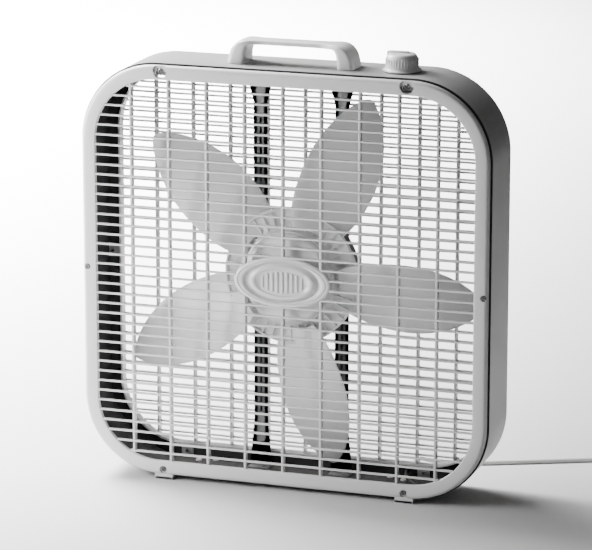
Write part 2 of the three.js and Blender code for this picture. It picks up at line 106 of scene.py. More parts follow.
def makeSurfaceGroup():
    # Moulded or painted skin: orange peel for the normal, drifting shade and gloss, settled dust
    group, source, sink = newGroup(
        "surfaceSkin",
        [("Color", "NodeSocketColor", (0.7, 0.7, 0.7, 1)), ("Gloss", "NodeSocketFloat", 0.4),
         ("Peel Scale", "NodeSocketFloat", 900.0), ("Peel Depth", "NodeSocketFloat", 0.1),
         ("Drift", "NodeSocketFloat", 0.05), ("Dust", "NodeSocketFloat", 0.2)],
        [("Color", "NodeSocketColor"), ("Roughness", "NodeSocketFloat"), ("Normal", "NodeSocketVector")],
    )
    nodes, links = group.nodes, group.links
    place = nodes.new("ShaderNodeTexCoord").outputs["Object"]
    peel = noiseNode(group, place, source.outputs["Peel Scale"], 2.0)
    bump = nodes.new("ShaderNodeBump")
    bump.inputs["Distance"].default_value = 0.0004
    links.new(source.outputs["Peel Depth"], bump.inputs["Strength"])
    links.new(peel.outputs["Fac"], bump.inputs["Height"])
    drift = noiseNode(group, place, 9.0, 4.0, 0.6)
    centred = mathNode(group, "SUBTRACT", drift.outputs["Fac"], 0.5)
    shift = mathNode(group, "MULTIPLY", centred, source.outputs["Drift"])
    shade = nodes.new("ShaderNodeHueSaturation")
    links.new(mathNode(group, "ADD", shift, 1.0), shade.inputs["Value"])
    links.new(source.outputs["Color"], shade.inputs["Color"])
    upward = nodes.new("ShaderNodeSeparateXYZ")
    links.new(nodes.new("ShaderNodeNewGeometry").outputs["Normal"], upward.inputs["Vector"])
    specks = noiseNode(group, place, 160.0, 5.0, 0.7)
    facing = mathNode(group, "MULTIPLY", upward.outputs["Z"], source.outputs["Dust"])
    settled = nodes.new("ShaderNodeMath")
    settled.operation = "MULTIPLY"
    settled.use_clamp = True
    links.new(facing, settled.inputs[0])
    links.new(specks.outputs["Fac"], settled.inputs[1])
    dusty = nodes.new("ShaderNodeMix")
    dusty.data_type = "RGBA"
    dusty.inputs["B"].default_value = (0.62, 0.6, 0.57, 1)
    links.new(settled.outputs["Value"], dusty.inputs["Factor"])
    links.new(shade.outputs["Color"], dusty.inputs["A"])
    worn = mathNode(group, "ADD", source.outputs["Gloss"], mathNode(group, "MULTIPLY", centred, 0.16))
    rough = mathNode(group, "ADD", worn, mathNode(group, "MULTIPLY", settled.outputs["Value"], 0.5))
    links.new(dusty.outputs["Result"], sink.inputs["Color"])
    links.new(rough, sink.inputs["Roughness"])
    links.new(bump.outputs["Normal"], sink.inputs["Normal"])
    return group


surfaceSkin = makeSurfaceGroup()


def makeSkin(name, color, gloss, peelScale=900, peelDepth=0.1, drift=0.06, dust=0.12, **fixed):
    material = bpy.data.materials.new(name)
    material.use_nodes = True
    tree = material.node_tree
    shader = tree.nodes["Principled BSDF"]
    skin = tree.nodes.new("ShaderNodeGroup")
    skin.node_tree = surfaceSkin
    for label, value in (("Color", (*color, 1)), ("Gloss", gloss), ("Peel Scale", peelScale),
                         ("Peel Depth", peelDepth), ("Drift", drift), ("Dust", dust)):
        skin.inputs[label].default_value = value
    tree.links.new(skin.outputs["Color"], shader.inputs["Base Color"])
    tree.links.new(skin.outputs["Roughness"], shader.inputs["Roughness"])
    tree.links.new(skin.outputs["Normal"], shader.inputs["Normal"])
    for label, value in fixed.items():
        shader.inputs[label].default_value = value
    material.diffuse_color = (*color, 1)
    return material


def paintTipShade(material):
    # Painted shade: the plastic's colour is multiplied darker towards the blade tips
    tree = material.node_tree
    nodes, links = tree.nodes, tree.links
    centred = nodes.new("ShaderNodeMapping")
    centred.inputs["Location"].default_value = (0, 0, -centreZ)
    centred.inputs["Scale"].default_value = (1, 0, 1)
    links.new(nodes.new("ShaderNodeTexCoord").outputs["Object"], centred.inputs["Vector"])
    reach = nodes.new("ShaderNodeVectorMath")
    reach.operation = "LENGTH"
    links.new(centred.outputs["Vector"], reach.inputs[0])
    share = nodes.new("ShaderNodeMapRange")
    share.interpolation_type = "SMOOTHSTEP"
    share.inputs["From Min"].default_value = 0.13
    share.inputs["From Max"].default_value = 0.25
    links.new(reach.outputs["Value"], share.inputs["Value"])
    tipShade = nodes.new("ShaderNodeMix")
    tipShade.data_type = "RGBA"
    tipShade.blend_type = "MULTIPLY"
    tipShade.inputs["B"].default_value = (0.55, 0.55, 0.55, 1)
    shader = nodes["Principled BSDF"]
    links.new(share.outputs["Result"], tipShade.inputs["Factor"])
    links.new(shader.inputs["Base Color"].links[0].from_socket, tipShade.inputs["A"])
    links.new(tipShade.outputs["Result"], shader.inputs["Base Color"])
    return material


finishes = {
    "panel": makeSkin("panelPlastic", (0.60, 0.60, 0.595), 0.34, 700, 0.10, **{"Coat Weight": 0.15}),
    "badge": makeSkin("badgePlastic", (0.56, 0.562, 0.565), 0.30, 900, 0.06, **{"Coat Weight": 0.2}),
    "band": makeSkin("bandEnamel", (0.30, 0.30, 0.30), 0.36, 520, 0.16,
                     **{"Coat Weight": 0.08, "Specular IOR Level": 0.18}),
    # Near-black painted shade for the shadowed inside of the wrap and its seam
    "paintedShade": makeSkin("bandPaintedShade", (0.04, 0.04, 0.041), 0.85, 600, 0.2, 0.2, 0.2,
                       **{"Specular IOR Level": 0.08}),
    "blade": paintTipShade(makeSkin("bladePlastic", (0.69, 0.693, 0.697), 0.30, 500, 0.06, 0.10, 0.2)),
    "strap": makeSkin("strapPaint", (0.21, 0.21, 0.213), 0.7, 800, 0.2, 0.25, 0.05),
    "motor": makeSkin("motorZinc", (0.38, 0.385, 0.39), 0.38, 240, 0.12, 0.35, 0.1, Metallic=1.0),
    "copper": makeSkin("windingCopper", (0.46, 0.17, 0.06), 0.3, 300, 0.3, 0.3, 0.0, Metallic=0.9),
    "bronze": makeSkin("bearingBronze", (0.5, 0.33, 0.14), 0.4, 900, 0.2, 0.2, 0.0, Metallic=1.0),
    "screw": makeSkin("screwZinc", (0.20, 0.203, 0.207), 0.38, 1200, 0.1, 0.25, 0.05, Metallic=1.0),
    "handle": makeSkin("handlePlastic", (0.68, 0.68, 0.675), 0.30, 700, 0.08, **{"Coat Weight": 0.2}),
    "foot": makeSkin("footPlastic", (0.72, 0.72, 0.70), 0.45, 600, 0.12),
    "switch": makeSkin("switchBlack", (0.02, 0.02, 0.02), 0.4, 700, 0.15, 0.2, 0.05),
    "cord": makeSkin("cordVinyl", (0.50, 0.50, 0.485), 0.42, 500, 0.12, 0.08, 0.05),
    "lead": makeSkin("leadVinyl", (0.02, 0.02, 0.021), 0.4, 500, 0.12, 0.2, 0.0),
    "brass": makeSkin("plugBrass", (0.62, 0.42, 0.16), 0.25, 1200, 0.08, 0.15, 0.0, Metallic=1.0),
}
print("finishes made")


# Modelling helpers

def closeMesh(bm):
    bmesh.ops.remove_doubles(bm, verts=bm.verts, dist=1e-6)
    bmesh.ops.recalc_face_normals(bm, faces=bm.faces)


def addPiece(name, bm, finish, replaced=(), body="root", sharp=32):
    closeMesh(bm)
    mesh = bpy.data.meshes.new(name)
    bm.to_mesh(mesh)
    bm.free()
    mesh.shade_smooth()
    mesh.set_sharp_from_angle(angle=radians(sharp))
    mesh.materials.append(finishes[finish])
    piece = bpy.data.objects.new(name, mesh)
    bpy.context.scene.collection.objects.link(piece)
    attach(piece, body)
    if replaced:
        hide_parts(*replaced)
    return piece


def edgesOf(verts):
    # Each edge once, in a steady order
    return list(dict.fromkeys(edge for vert in verts for edge in vert.link_edges))


def drawLine(bm, points, closed=False):
    verts = [bm.verts.new(point) for point in points]
    pairs = list(zip(verts, verts[1:]))
    if closed:
        pairs.append((verts[-1], verts[0]))
    return verts, [bm.edges.new(pair) for pair in pairs]


def addBox(bm, low, high, bevel=0.0, segments=2, place=Matrix.Identity(4)):
    low, high = Vector(low), Vector(high)
    size = high - low
    fit = place @ Matrix.Translation((low + high) / 2) @ Matrix.Diagonal((*size, 1))
    verts = bmesh.ops.create_cube(bm, size=1, matrix=fit)["verts"]
    if bevel:
        bmesh.ops.bevel(bm, geom=edgesOf(verts), offset=bevel, affect="EDGES", segments=segments,
                        profile=0.5, material=-1)
    return verts


def addTurned(bm, profile, centre, axis="Y", steps=64, closed=False):
    # A profile of (radius, height) pairs turned about an axis through the centre
    centre = Vector(centre)
    upright = axis == "Z"
    across = Vector((1, 0, 0))
    along = Vector((0, 0, 1)) if upright else Vector((0, 1, 0))
    verts, edges = drawLine(bm, [centre + across * r + along * h for r, h in profile], closed)
    bmesh.ops.spin(bm, geom=verts + edges, cent=centre, axis=along, dvec=(0, 0, 0), angle=2 * pi,
                   steps=steps, use_merge=True, use_normal_flip=False, use_duplicate=False)


def quarterTurn(steps):
    return [pi / 2 * i / steps for i in range(steps + 1)]


def roundedCorner(centre, radius, steps):
    return [(centre[0] + radius * cos(a), centre[1] + radius * sin(a)) for a in quarterTurn(steps)]


def lastEdges(result):
    fresh = {item for item in result if isinstance(item, bmesh.types.BMVert)}
    return [item for item in result
            if isinstance(item, bmesh.types.BMEdge) and all(vert in fresh for vert in item.verts)]


def pushEdges(bm, edges, move):
    result = bmesh.ops.extrude_edge_only(bm, edges=edges)["geom"]
    fresh = [item for item in result if isinstance(item, bmesh.types.BMVert)]
    bmesh.ops.translate(bm, vec=move, verts=fresh)
    return lastEdges(result)


def turnEdges(bm, edges, centre, steps):
    verts = list(dict.fromkeys(vert for edge in edges for vert in edge.verts))
    result = bmesh.ops.spin(bm, geom=verts + edges, cent=centre, axis=(0, -1, 0), dvec=(0, 0, 0),
                            angle=pi / 2, steps=steps, use_merge=False, use_duplicate=False)
    return lastEdges(result["geom_last"])


def sweepSquare(bm, profile, half, radius, steps=20):
    # A closed profile of (inset, y) pairs carried round the rounded square of the housing
    inner = half - radius
    start = [(-inner, y, centreZ - half + inset) for inset, y in profile]
    edges = drawLine(bm, start, True)[1]
    sides = [((1, 0, 0), (1, -1)), ((0, 0, 1), (1, 1)), ((-1, 0, 0), (-1, 1)), ((0, 0, -1), (-1, -1))]
    for direction, (right, up) in sides:
        edges = pushEdges(bm, edges, Vector(direction) * 2 * inner)
        edges = turnEdges(bm, edges, (right * inner, 0, centreZ + up * inner), steps)


def apertureReach(offset):
    beyond = max(0.0, abs(offset) - (apertureHalf - apertureRadius))
    return apertureHalf - apertureRadius + sqrt(max(0.0, apertureRadius ** 2 - beyond ** 2))


def spaced(count, pitch):
    return [(i - (count - 1) / 2) * pitch for i in range(count)]


def mirrorY(bm):
    bmesh.ops.scale(bm, vec=(1, -1, 1), verts=bm.verts)


# The cord comes first: route, coil, tail and plug

cordFacts = {
    "diameter": 5.5, "length": 1.83,
    "route": [
        (138, 84.3, 16), (138, 92, 15.4), (139.3, 101, 12.8), (144, 111, 8.6), (153, 119.5, 5),
        (165, 125.6, 3.2), (180, 130.3, 2.95), (197, 134.9, 2.95), (214, 140.3, 2.95),
        (229.5, 147.1, 2.95), (246, 154.4, 2.95), (262, 161.5, 2.95), (285, 171.7, 2.95),
        (312, 183.7, 3), (339, 195.7, 3.2), (355, 202.8, 3.5), (368, 208.6, 3.6),
    ],
    "tail": [(435.1, 168, 14.65), (435.1, 157, 14.2), (435.1, 146, 12.6), (435.1, 136, 11.3),
             (435.1, 126, 11)],
    "turns": 7, "perTurn": 24, "joinAngle": 114, "radii": [37.5, 32, 26.5, 26.5, 32, 37.5, 37.5, 37.5],
    "levels": [3.65, 3.65, 3.65, 9.15, 9.15, 9.15, 14.65, 14.65],
}


def eased(value):
    value = min(1.0, max(0.0, value))
    return value * value * (3 - 2 * value)


def coilPoint(turn):
    # Each turn keeps its radius, and shifts or climbs near its start
    low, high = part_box("cord_coil")
    centre = (low + high) / 2
    number = min(int(turn), len(cordFacts["radii"]) - 1)
    before = max(0, number - 1)
    part = turn - number
    radii, levels = cordFacts["radii"], cordFacts["levels"]
    radius = radii[before] + (radii[number] - radii[before]) * eased(part * 3)
    level = levels[before] + (levels[number] - levels[before]) * eased(part * 6)
    angle = radians(cordFacts["joinAngle"]) - 2 * pi * turn
    return Vector((centre.x + radius * mm * cos(angle), centre.y + radius * mm * sin(angle), level * mm))


def makeTube(name, points, radius, finish, nodes, resolution):
    data = bpy.data.curves.new(name, "CURVE")
    data.dimensions = "3D"
    data.bevel_depth = radius * mm
    data.bevel_resolution = 3
    data.resolution_u = resolution
    data.use_fill_caps = True
    spline = data.splines.new("BEZIER")
    spline.bezier_points.add(len(points) - 1)
    for knot, point in zip(spline.bezier_points, points):
        knot.co = point
        knot.handle_left_type = knot.handle_right_type = "AUTO"
    data.materials.append(finishes[finish])
    tube = bpy.data.objects.new(name, data)
    bpy.context.scene.collection.objects.link(tube)
    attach(tube, "root")
    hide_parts(*nodes)
    return tube


def makeCord():
    count = cordFacts["turns"] * cordFacts["perTurn"]
    lastTurn = cordFacts["turns"] + cordFacts["joinAngle"] / 360
    coil = [coilPoint(i / cordFacts["perTurn"]) for i in range(count + 1)]
    rest = 7
    coil += [coilPoint(cordFacts["turns"] + (lastTurn - cordFacts["turns"]) * (i + 1) / rest)
             for i in range(rest)]
    points = [Vector(p) * mm for p in cordFacts["route"]] + coil + [Vector(p) * mm for p in cordFacts["tail"]]
    return makeTube("mainsCord", points, cordFacts["diameter"] / 2, "cord",
                    ["cord", "cord_coil", "cord_tail"], 4)


def makeRelief():
    relief = {"collar": 7.5, "root": 5.4, "tip": 3.7, "ribs": 6, "groove": 0.9}
    low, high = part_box("strain_relief")
    centre = ((low.x + high.x) / 2, 0, (low.z + high.z) / 2)
    face = rearY + 0.3 * mm
    sleeve = high.y - face - 4 * mm
    profile = [(0, low.y), (4.4 * mm, low.y), (4.4 * mm, face)]
    profile += [(relief["collar"] * mm - 0.6 * mm, face)]
    profile += roundedCorner(((relief["collar"] - 0.8) * mm, face + 2.2 * mm), 0.8 * mm, 3)
    pitch = sleeve / relief["ribs"]
    for i in range(relief["ribs"]):
        y = face + 4 * mm + i * pitch
        radius = (relief["root"] + (relief["tip"] - relief["root"]) * i / relief["ribs"]) * mm
        slim = radius - relief["groove"] * mm
        profile += [(radius, y), (radius, y + 0.6 * pitch), (slim, y + 0.7 * pitch), (slim, y + 0.95 * pitch)]
    profile += [(relief["tip"] * mm, high.y), (0, high.y)]
    bm = bmesh.new()
    addTurned(bm, profile, centre, "Y", 32)
    return addPiece("cordRelief", bm, "cord", ["strain_relief"])


def makePlug():
    plug = {"neckRibs": 4, "neckPitch": 2.6, "gripRibs": 4, "edge": 3.6}
    low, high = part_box("plug_body")
    middle = (low + high) / 2
    half = (high - low) / 2
    bodyBack = high.y - 11 * mm
    bm = bmesh.new()
    verts = addBox(bm, (low.x, low.y, low.z), (high.x, bodyBack, high.z))
    back = [v for v in verts if v.co.y > middle.y]
    bmesh.ops.scale(bm, vec=(0.62, 1, 0.78), verts=back, space=Matrix.Translation(-middle))
    bmesh.ops.bevel(bm, geom=bm.edges[:], offset=plug["edge"] * mm, affect="EDGES", segments=4, profile=0.5,
                    material=-1)
    pitch = plug["neckPitch"] * mm
    profile = [(0, bodyBack - 2 * mm), (5 * mm, bodyBack - 2 * mm)]
    for i in range(plug["neckRibs"]):
        y = bodyBack + i * pitch
        radius = (4.9 - 0.35 * i) * mm
        profile += [(radius, y), (radius, y + 1.6 * mm), (radius - 0.9 * mm, y + 1.8 * mm),
                    (radius - 0.9 * mm, y + 2.4 * mm)]
    profile += [(3.4 * mm, high.y), (0, high.y)]
    addTurned(bm, profile, (middle.x, 0, middle.z), "Y", 32)
    for side in (-1, 1):
        grip = middle.x + side * half.x * 0.93
        for i in range(plug["gripRibs"]):
            y = low.y + (6 + 3 * i) * mm
            addBox(bm, (grip - 0.9 * mm, y, middle.z - 4.5 * mm),
                   (grip + 0.6 * mm, y + 1.3 * mm, middle.z + 4.5 * mm), 0.4 * mm, 2)
    body = addPiece("plugBody", bm, "cord", ["plug_body"])
    blades = []
    for name in ("plug_blade_left", "plug_blade_right"):
        start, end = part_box(name)
        bm = bmesh.new()
        addBox(bm, start, end, 0.35 * mm, 2)
        blades.append(addPiece(camelName(name), bm, "brass", [name]))
    return [body, *blades]


def makeTie():
    low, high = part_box("cord_tie")
    bm = bmesh.new()
    sides = [((low.x, low.y, low.z), (high.x, low.y + 1 * mm, high.z)),
             ((low.x, high.y - 1 * mm, low.z), (high.x, high.y, high.z)),
             ((low.x, low.y, high.z - 1 * mm), (high.x, high.y, high.z)),
             ((low.x, low.y, low.z), (high.x, high.y, low.z + 0.5 * mm))]
    for start, end in sides:
        addBox(bm, start, end, 0.22 * mm, 1)
    return addPiece("cordTie", bm, "lead", ["cord_tie"])


def camelName(node):
    words = node.split("_")
    return words[0] + "".join(word.capitalize() for word in words[1:])


def declareCord():
    cord = makeCord()
    pieces = [makeRelief(), makeTie(), *makePlug()]


setCamera()
declareCord()
print("camera and cord made")


# Front and rear panels

panel = {
    "roundover": 5.0, "lip": 44.6, "groove": 2.4, "wall": 2.8, "skirtWall": 2.4, "innerEdge": 1.4,
    "frontStep": 2.0, "frontReturn": 5.0,
    "tabWidth": 24, "tabX": 158.4, "barCount": 38, "barPitch": 12.7, "barHeight": 2.4, "barDepth": 3.6,
    "barDrop": 0.5, "ribCount": 9, "ribPitch": 49.5, "ribWidth": 3.0, "ribStart": 1.3, "ribEnd": 11.0,
}
screwSpots = {"top_left": 9.0, "top_right": 9.0, "middle_left": 4.2, "middle_right": 4.2,
              "bottom_left": 5.0, "bottom_right": 5.0}


def rimProfile(face, returnEnd, outerEnd, inset):
    # (inset, depth behind the housing's middle) round the section of the moulding
    r = panel["roundover"] * mm
    e = panel["innerEdge"] * mm
    wall = panel["wall"] * mm
    lip = -panel["lip"] * mm
    rim = rimWidth - inset
    outer = [(r - r * cos(a), face + r - r * sin(a)) for a in quarterTurn(6)]
    inner = [(rim - e + e * sin(a), face + e - e * cos(a)) for a in quarterTurn(4)]
    skirt = rim - panel["skirtWall"] * mm
    groove = panel["groove"] * mm
    section = [(groove, outerEnd), (groove, lip), (0.4 * mm, lip), (0, lip - 0.4 * mm), *outer, *inner]
    section += [(rim, returnEnd - 0.5 * mm), (rim - 0.5 * mm, returnEnd), (skirt, returnEnd)]
    section += [(skirt, face + wall + 1 * mm), (skirt - 1 * mm, face + wall)]
    section += [(r + wall, face + wall), (groove + wall, face + r + wall), (groove + wall, outerEnd)]
    return section


def addFootTabs(bm, face, low):
    half = panel["tabWidth"] * mm / 2
    for side in (-1, 1):
        x = side * panel["tabX"] * mm
        start = (x - half, face + 2 * mm, low)
        addBox(bm, start, (x + half, -bandHigh.y + 6 * mm, bandLow.z - 0.3 * mm), 1 * mm)
        addBox(bm, start, (x + half, -bandHigh.y - 0.4 * mm, bandLow.z + 5 * mm), 1 * mm)


def cutPockets(piece, side, face):
    # Screw pockets are cut with a throwaway solid
    bm = bmesh.new()
    for place, radius in screwSpots.items():
        low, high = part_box(f"{side}_screw_{place}")
        x, z = (low.x + high.x) / 2, (low.z + high.z) / 2
        ahead = -1 if side == "front" else 1
        spin = Matrix.Rotation(pi / 2, 4, "X")
        for reach, depth in ((radius, 3.0), (2.3, 12.0)):
            mid = face - ahead * (depth - 4) / 2 * mm
            bmesh.ops.create_cone(bm, cap_ends=True, segments=40, radius1=reach * mm, radius2=reach * mm,
                                  depth=(depth + 4) * mm, matrix=Matrix.Translation((x, mid, z)) @ spin)
    mesh = bpy.data.meshes.new("pocketCutter")
    closeMesh(bm)
    bm.to_mesh(mesh)
    bm.free()
    cutter = bpy.data.objects.new("pocketCutter", mesh)
    bpy.context.scene.collection.objects.link(cutter)
    cut = piece.modifiers.new("pockets", "BOOLEAN")
    cut.operation = "DIFFERENCE"
    cut.solver = "EXACT"
    cut.use_self = True
    cut.object = cutter
    applied = bpy.data.meshes.new_from_object(piece.evaluated_get(bpy.context.evaluated_depsgraph_get()))
    piece.modifiers.clear()
    piece.data = applied
    piece.data.shade_smooth()
    piece.data.set_sharp_from_angle(angle=radians(32))
    bpy.data.objects.remove(cutter)


def makeBezel(side):
    low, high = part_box(f"{side}_bezel")
    inset = faceHalf - high.x
    skirtEnd = high.y if side == "front" else -low.y
    returnEnd, outerEnd = skirtEnd, -bandHigh.y - 0.2 * mm
    if side == "front":
        # the front moulding stands just inside the band's edge, and its skirt slips into the band
        inset += panel["frontStep"] * mm
        returnEnd, outerEnd = low.y + panel["frontReturn"] * mm, skirtEnd
    bm = bmesh.new()
    section = [(inset + a, y) for a, y in rimProfile(frontY, returnEnd, outerEnd, inset)]
    sweepSquare(bm, section, faceHalf, cornerRadius)
    closeMesh(bm)
    addFootTabs(bm, frontY, low.z)
    if side == "rear":
        mirrorY(bm)
    piece = addPiece(f"{side}Bezel", bm, "panel", [f"{side}_bezel"])
    cutPockets(piece, side, frontY if side == "front" else rearY)
    return piece


def makeBars(side, hole=None):
    half = panel["barHeight"] * mm / 2
    y0 = frontY + panel["barDrop"] * mm
    y1 = y0 + panel["barDepth"] * mm
    bm = bmesh.new()
    for offset in spaced(panel["barCount"], panel["barPitch"] * mm):
        reach = apertureReach(abs(offset) + half) + 1.2 * mm
        spans = [(-reach, reach)]
        if hole and abs(offset) < hole[1]:
            edge = hole[0] * sqrt(1 - (offset / hole[1]) ** 2)
            spans = [(-reach, -edge), (edge, reach)]
        for start, end in spans:
            z = centreZ + offset
            addBox(bm, (start, y0, z - half), (end, y1, z + half), 0.55 * mm, 1)
    if side == "rear":
        mirrorY(bm)
    return addPiece(f"{side}GrilleBars", bm, "panel", [f"{side}_grille_bars"])


def makeRibs(side):
    half = panel["ribWidth"] * mm / 2
    y0 = frontY + panel["ribStart"] * mm
    y1 = frontY + panel["ribEnd"] * mm
    bm = bmesh.new()
    for offset in spaced(panel["ribCount"], panel["ribPitch"] * mm):
        reach = apertureReach(abs(offset) + half) + 1.2 * mm
        spans = [(-reach, reach, y0)]
        if side == "front" and abs(offset) < badge["outer"][0] * mm:
            tall = badge["outer"][1] * mm * sqrt(1 - (offset / badge["outer"][0] / mm) ** 2)
            spans = [(-reach, -tall, y0), (-tall, tall, frontY + 4.3 * mm), (tall, reach, y0)]
        for start, end, front in spans:
            verts = addBox(bm, (offset - half, front, centreZ + start), (offset + half, y1, centreZ + end))
            tail = [vert for vert in verts if vert.co.y > y0 + 4 * mm]
            slim = Matrix.Translation((-offset, 0, 0))
            bmesh.ops.scale(bm, vec=(0.7, 1, 1), verts=tail, space=slim)
    bmesh.ops.bevel(bm, geom=bm.edges[:], offset=0.5 * mm, affect="EDGES", segments=2, profile=0.5,
                    material=-1)
    if side == "rear":
        mirrorY(bm)
    return addPiece(f"{side}GrilleRibs", bm, "panel", [f"{side}_grille_ribs"])


badge = {"outer": (62.5, 31.5), "ring": (50.0, 28.0), "plate": (45.5, 24.5), "deep": 3.4, "louvres": 9,
         "pitch": 6.4, "steps": 96}


def addOval(bm, steps, rings):
    # Oval rings of ((half width, half height), y), each grown from the one before; returns the end edges
    (wide, tall), y = rings[0]
    circle = bmesh.ops.create_circle(bm, cap_ends=False, radius=1, segments=steps)["verts"]
    place = Matrix.Translation((0, y, centreZ)) @ Matrix.Rotation(pi / 2, 4, "X")
    bmesh.ops.transform(bm, matrix=place @ Matrix.Diagonal((wide * mm, tall * mm, 1, 1)), verts=circle)
    first = edges = edgesOf(circle)
    for (nextWide, nextTall), nextY in rings[1:]:
        result = bmesh.ops.extrude_edge_only(bm, edges=edges)["geom"]
        fresh = [item for item in result if isinstance(item, bmesh.types.BMVert)]
        stretch = Matrix.Diagonal((nextWide / wide, 1, nextTall / tall, 1))
        place = Matrix.Translation((0, nextY, centreZ)) @ stretch @ Matrix.Translation((0, -y, -centreZ))
        bmesh.ops.transform(bm, matrix=place, verts=fresh)
        edges, wide, tall, y = lastEdges(result), nextWide, nextTall, nextY
    return first, edges


def makeBadge():
    # A raised oval ring, and inside its groove a crowned plate with an embossed oval and plain louvres
    y = frontY
    back = y + 4.1 * mm
    deep = y + badge["deep"] * mm
    bm = bmesh.new()
    (ow, oh), (rw, rh) = badge["outer"], badge["ring"]
    rings = [((ow, oh), back), ((ow, oh), y + 1.6 * mm), ((ow - 0.7, oh - 0.7), y + 0.8 * mm),
             ((ow - 2.2, oh - 2), y + 0.25 * mm), ((ow - 4, oh - 3.4), y + 0.1 * mm),
             ((ow - 4.8, oh - 4), y + 0.9 * mm), ((ow - 5.8, oh - 4.6), y + 0.9 * mm),
             ((ow - 6.6, oh - 5), y + 0.1 * mm), ((rw + 2.4, rh - 0.9), y + 0.1 * mm),
             ((rw + 1.2, rh - 1.6), y + 0.5 * mm), ((rw - 1.6, rh - 2.6), deep),
             ((rw - 3.8, rh - 3), deep + 0.2 * mm), ((rw - 3.8, rh - 3), back - 0.2 * mm)]
    first, last = addOval(bm, badge["steps"], rings)
    bmesh.ops.bridge_loops(bm, edges=first + last)
    surround = addPiece("badgeSurround", bm, "panel")
    bm = bmesh.new()
    pw, ph = badge["plate"]
    crown = y + 0.1 * mm
    field = y + 1.1 * mm
    rings = [((pw, ph), back), ((pw, ph), deep + 0.6 * mm), ((pw - 0.8, ph - 0.6), deep + 0.2 * mm),
             ((pw - 4.2, ph - 3), y + 0.9 * mm), ((pw - 5.4, ph - 3.9), y + 0.25 * mm),
             ((pw - 7, ph - 5), crown), ((pw - 10, ph - 6.8), crown), ((pw - 11, ph - 7.6), field),
             ((pw - 20, ph - 13), field - 0.1 * mm)]
    for loop in addOval(bm, badge["steps"], rings):
        bmesh.ops.contextual_create(bm, geom=loop)
    wide, tall = (pw - 15) * mm, (ph - 11) * mm
    for x in spaced(badge["louvres"], badge["pitch"] * mm):
        reach = tall * sqrt(1 - (x / wide) ** 2)
        half = badge["pitch"] * mm * 0.27
        addBox(bm, (x - half, crown, centreZ - reach), (x + half, field + 0.6 * mm, centreZ + reach),
               0.7 * mm, 2)
    plate = addPiece("badgePlate", bm, "badge", ["badge_plate"], sharp=50)
    return surround, plate


def makeScrew(node, proud=2.2):
    # A pan head with a dimpled drive, on its shank; the head is the end furthest from the housing's middle
    low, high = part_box(node)
    x, z = (low.x + high.x) / 2, (low.z + high.z) / 2
    ahead = -1 if abs(low.y) > abs(high.y) else 1
    top = low.y if ahead < 0 else high.y
    tip = high.y if ahead < 0 else low.y
    r = (high.x - low.x) / 2
    seat = top - ahead * proud * mm
    bm = bmesh.new()
    profile = [(0, tip), (1.0 * mm, tip), (1.7 * mm, tip + ahead * 1.5 * mm), (1.7 * mm, seat), (r, seat)]
    profile += [(r, seat + ahead * 0.5 * mm), (0.93 * r, seat + ahead * 1.2 * mm),
                (0.72 * r, top - ahead * 0.25 * mm), (0.45 * r, top), (0.34 * r, top),
                (0.2 * r, top - ahead * 1.5 * mm), (0, top - ahead * 1.6 * mm)]
    addTurned(bm, profile, (x, 0, z), "Y", 24)
    return addPiece(camelName(node), bm, "screw", [node])


for panelSide in ("front", "rear"):
    makeBezel(panelSide)
    makeBars(panelSide, [size * mm for size in badge["outer"]] if panelSide == "front" else None)
    makeRibs(panelSide)
    for spot in screwSpots:
        makeScrew(f"{panelSide}_screw_{spot}")
makeBadge()
print("panels made")


# The steel band, its folded tabs and its two feet

band = {"thick": 1.2, "hem": 0.45, "tabWidth": 16, "tabReach": 15, "tabThick": 1.2, "tabY": 39.8,
        "seam": 7.0, "flange": 17.2, "frontFlange": 4.0, "flangeThick": 0.5, "arcSteps": 32}


def makeBand():
    thick = band["thick"] * mm
    hem = band["hem"] * mm
    end = bandHigh.y
    bm = bmesh.new()
    half = [(hem, end), (0, end - hem), (0, -end + hem), (hem, -end)]
    inner = [(thick - hem, -end), (thick, -end + hem), (thick, end - hem), (thick - hem, end)]
    sweepSquare(bm, half + inner, faceHalf, cornerRadius, band["arcSteps"])
    closeMesh(bm)
    reach, width = band["tabReach"] * mm, band["tabWidth"] * mm / 2
    for side in ("front", "rear"):
        ahead = -1 if side == "front" else 1
        for spot in screwSpots:
            low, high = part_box(f"{side}_screw_{spot}")
            x, z = (low.x + high.x) / 2, (low.z + high.z) / 2
            y = sorted((ahead * band["tabY"] * mm, ahead * (band["tabY"] + band["tabThick"]) * mm))
            wall = faceHalf - 0.6 * mm
            if abs(x) > 0.2:
                xs = sorted((x / abs(x) * wall, x / abs(x) * (wall - reach)))
                addBox(bm, (xs[0], y[0], z - width), (xs[1], y[1], z + width), 0.3 * mm, 1)
            else:
                way = 1 if z > centreZ else -1
                zs = sorted((centreZ + way * wall, centreZ + way * (wall - reach)))
                addBox(bm, (x - width, y[0], zs[0]), (x + width, y[1], zs[1]), 0.3 * mm, 1)
    # The lapped seam of the wrap, under the housing
    seam = band["seam"] * mm
    addBox(bm, (-seam, -end + 1 * mm, bandLow.z - 0.5 * mm), (seam, end - 1 * mm, bandLow.z + 1 * mm),
           0.4 * mm, 2)
    piece = addPiece("steelBand", bm, "band", ["steel_band"])
    # The cut edges of the wrap take the near-black finish: painted shade for the shadowed seam gap
    piece.data.materials.append(finishes["paintedShade"])
    for face in piece.data.polygons:
        if abs(face.normal.y) > 0.6 and abs(abs(face.center.y) - end) < 0.3 * mm:
            face.material_index = 1
    return piece


